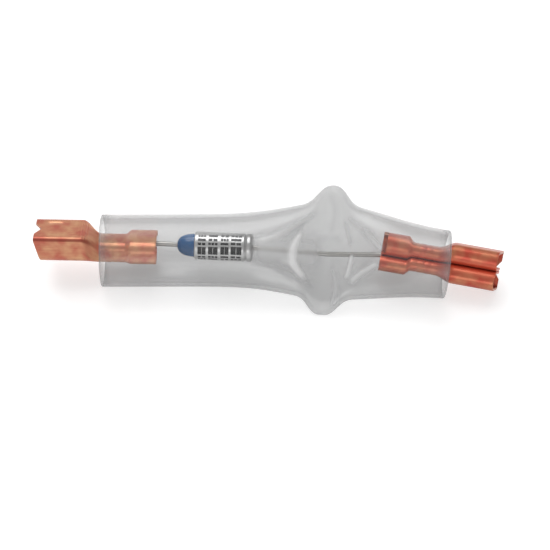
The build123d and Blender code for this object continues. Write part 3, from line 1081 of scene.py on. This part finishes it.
def pad_print():
    """Carbon black ink, pad printed: matt and solid, painted grey further round the case as a painted
    highlight.
    """
    material, output = new_material("pad_print_ink")
    tree = material.node_tree
    # grey where the case's upper side catches the light: a painted highlight washing out the ink
    thin = add_node(tree, "ShaderNodeAttribute", attribute_name="thin")
    ink = add_node(
        tree,
        "ShaderNodeMix",
        {0: thin.outputs["Fac"], 6: linear("#0d0d0e"), 7: linear("#6c6c6e")},
        data_type="RGBA",
    )
    shader = add_node(
        tree, "ShaderNodeBsdfPrincipled", {"Base Color": ink.outputs[2], "Roughness": 0.6}
    )
    return finish_material(material, output, shader)


class FUSE_OT_marks(bpy.types.Operator):
    """Prints generic lot marks round the case"""

    bl_idname = "fuse.marks"
    bl_label = "Marks on the case"

    def execute(self, context):
        fuse = context.scene.fuse_cutoff
        axes, origin = case_frame(fuse, context.scene.fuse_terminals)
        points, faces, thin = [], [], []
        for start, end, top, bottom in ink_bars():
            first = len(points)
            for radius in (fuse.case_radius - fuse.ink_depth, fuse.case_radius + fuse.ink_depth):
                for x in (start * MM, end * MM):
                    for degrees in np.linspace(top, bottom, INK_BENDS):
                        turn = radians(degrees)
                        points.append((x, radius * cos(turn), radius * sin(turn)))
                        # painted highlight: the ink turns grey further round the case
                        thin.append(1 - smooth_step(degrees, *INK_SHEEN_FADE))
            faces += ink_faces(first, INK_BENDS)
        marks = to_row(np.array(points) @ axes + origin)
        add_piece("case_marks", marks, faces, pad_print(), "silver_plate", thin=thin)
        return {"FINISHED"}


def ink_faces(first, rounds):
    """Faces of one curved bar, whose points go round at both ends, on the plate and then on top."""
    low_start, low_end, high_start, high_end = (first + rounds * k for k in range(4))
    faces = []
    for k in range(rounds - 1):
        faces.append((high_start + k, high_end + k, high_end + k + 1, high_start + k + 1))
        faces.append((low_start + k, low_start + k + 1, low_end + k + 1, low_end + k))
        faces.append((low_start + k, high_start + k, high_start + k + 1, low_start + k + 1))
        faces.append((low_end + k, low_end + k + 1, high_end + k + 1, high_end + k))
    for k, flip in ((0, False), (rounds - 1, True)):
        face = (low_start + k, low_end + k, high_end + k, high_start + k)
        faces.append(face[::-1] if flip else face)
    return [np.array(face) for face in faces]


def shown_rays(tree):
    """1 for rays from the camera, a mirror or glass, and 0 for light that falls on something."""
    path = add_node(tree, "ShaderNodeLightPath")
    seen = path.outputs["Is Camera Ray"]
    for name in ("Is Glossy Ray", "Is Transmission Ray"):
        seen = add_node(
            tree, "ShaderNodeMath", {0: seen, 1: path.outputs[name]}, operation="MAXIMUM"
        ).outputs[0]
    return seen


def floor_paper():
    """White paper sweep: it takes the shadow, and shows white where light falls on it freely."""
    material, output = new_material("paper_matt")
    tree = material.node_tree
    # with what the lamps give this paper, the lift comes to just over white
    lift = 0.575
    diffuse = add_node(tree, "ShaderNodeBsdfDiffuse", {"Color": (0.70, 0.70, 0.70, 1)})
    strength = add_node(
        tree, "ShaderNodeMath", {0: shown_rays(tree), 1: lift}, operation="MULTIPLY"
    )
    glow = add_node(tree, "ShaderNodeEmission", {"Strength": strength.outputs[0]})
    shader = add_node(tree, "ShaderNodeAddShader", {0: diffuse.outputs[0], 1: glow.outputs[0]})
    return finish_material(material, output, shader)


def white_world():
    """White for what the camera and reflections see, and a plain soft light for the rest."""
    world = bpy.data.worlds.new("studio")
    bpy.context.scene.world = world
    world.use_nodes = True
    tree = world.node_tree
    tree.nodes.clear()
    output = add_node(tree, "ShaderNodeOutputWorld")
    # reflections see the white fall off towards the back of the studio
    way = add_node(tree, "ShaderNodeTexCoord")
    axes = add_node(tree, "ShaderNodeSeparateXYZ", {0: way.outputs["Generated"]})
    front = add_node(
        tree,
        "ShaderNodeMapRange",
        {"Value": axes.outputs["Y"], "From Min": 0.9, "From Max": -0.9, "To Min": 0.45},
    )
    path = add_node(tree, "ShaderNodeLightPath")
    lit = add_node(
        tree,
        "ShaderNodeMath",
        {0: front.outputs[0], 1: path.outputs["Is Camera Ray"]},
        operation="MAXIMUM",
    )
    soft = add_node(tree, "ShaderNodeBackground", {"Strength": 0.45})
    white = add_node(tree, "ShaderNodeBackground", {"Strength": lit.outputs[0]})
    shader = add_node(
        tree, "ShaderNodeMixShader", {0: shown_rays(tree), 1: soft.outputs[0], 2: white.outputs[0]}
    )
    tree.links.new(shader.outputs[0], output.inputs["Surface"])


def add_lamp(name, place, target, power, width):
    """A soft square lamp that looks at the part."""
    lamp = bpy.data.lights.new(name, "AREA")
    lamp.energy = power
    lamp.size = width
    lit = bpy.data.objects.new(name, lamp)
    bpy.context.scene.collection.objects.link(lit)
    lit.location = place
    lit.rotation_mode = "QUATERNION"
    lit.rotation_quaternion = (Vector(target) - lit.location).to_track_quat("-Z", "Y")


class FUSE_OT_stage(bpy.types.Operator):
    """Lays the paper, hangs the lamps and sets up the camera"""

    bl_idname = "fuse.stage"
    bl_label = "Stage"

    def execute(self, context):
        stage = context.scene.fuse_stage
        middle = (0, 0, 5 * MM)
        # a hair under the table's plane, so that the sleeve's flat underside doesn't lie in it
        bpy.ops.mesh.primitive_plane_add(size=4.0, location=(0, 0, -0.02 * MM))
        floor = context.object
        floor.name = "paper_floor"
        floor.data.materials.append(floor_paper())
        white_world()
        add_lamp("key_lamp", (-0.10, 0.28, 0.40), middle, 1.8, 0.42)
        add_lamp("front_lamp", (0.0, -0.38, 0.17), middle, 0.20, 0.16)
        view = rest_matrix()
        target = view @ Vector((0, stage.view_down, 0))
        toward = view.to_3x3() @ Vector((0, 0, 1))
        camera = bpy.data.objects.new("camera", bpy.data.cameras.new("camera"))
        context.scene.collection.objects.link(camera)
        camera.data.lens = stage.lens
        camera.data.clip_start = 0.01
        camera.location = target + toward * stage.distance
        camera.rotation_euler = view.to_euler()
        context.scene.camera = camera
        context.scene.view_settings.view_transform = "Standard"
        return {"FINISHED"}


class FUSE_PT_parts(bpy.types.Panel):
    """Lists the fuse's pieces"""

    bl_idname = "FUSE_PT_parts"
    bl_label = "Thermal fuse"
    bl_space_type = "VIEW_3D"
    bl_region_type = "UI"
    bl_category = "Fuse"

    def draw(self, context):
        for operator in OPERATORS:
            self.layout.operator(operator.bl_idname)


GROUPS = {
    "fuse_sleeve": SleeveSizes,
    "fuse_terminals": TerminalSizes,
    "fuse_cutoff": FuseSizes,
    "fuse_stage": StageSizes,
}
OPERATORS = [FUSE_OT_sleeve, FUSE_OT_terminals, FUSE_OT_cutoff, FUSE_OT_marks, FUSE_OT_stage]


def register():
    for group in GROUPS.values():
        bpy.utils.register_class(group)
    for name, group in GROUPS.items():
        setattr(bpy.types.Scene, name, bpy.props.PointerProperty(type=group))
    for operator in OPERATORS:
        bpy.utils.register_class(operator)
    bpy.utils.register_class(FUSE_PT_parts)


def unregister():
    bpy.utils.unregister_class(FUSE_PT_parts)
    for operator in reversed(OPERATORS):
        bpy.utils.unregister_class(operator)
    for name in GROUPS:
        delattr(bpy.types.Scene, name)
    for group in reversed(GROUPS.values()):
        bpy.utils.unregister_class(group)


def main():
    register()
    bpy.ops.fuse.sleeve()
    bpy.ops.fuse.terminals()
    bpy.ops.fuse.cutoff()
    bpy.ops.fuse.marks()
    bpy.ops.fuse.stage()


if __name__ == "__main__":
    main()
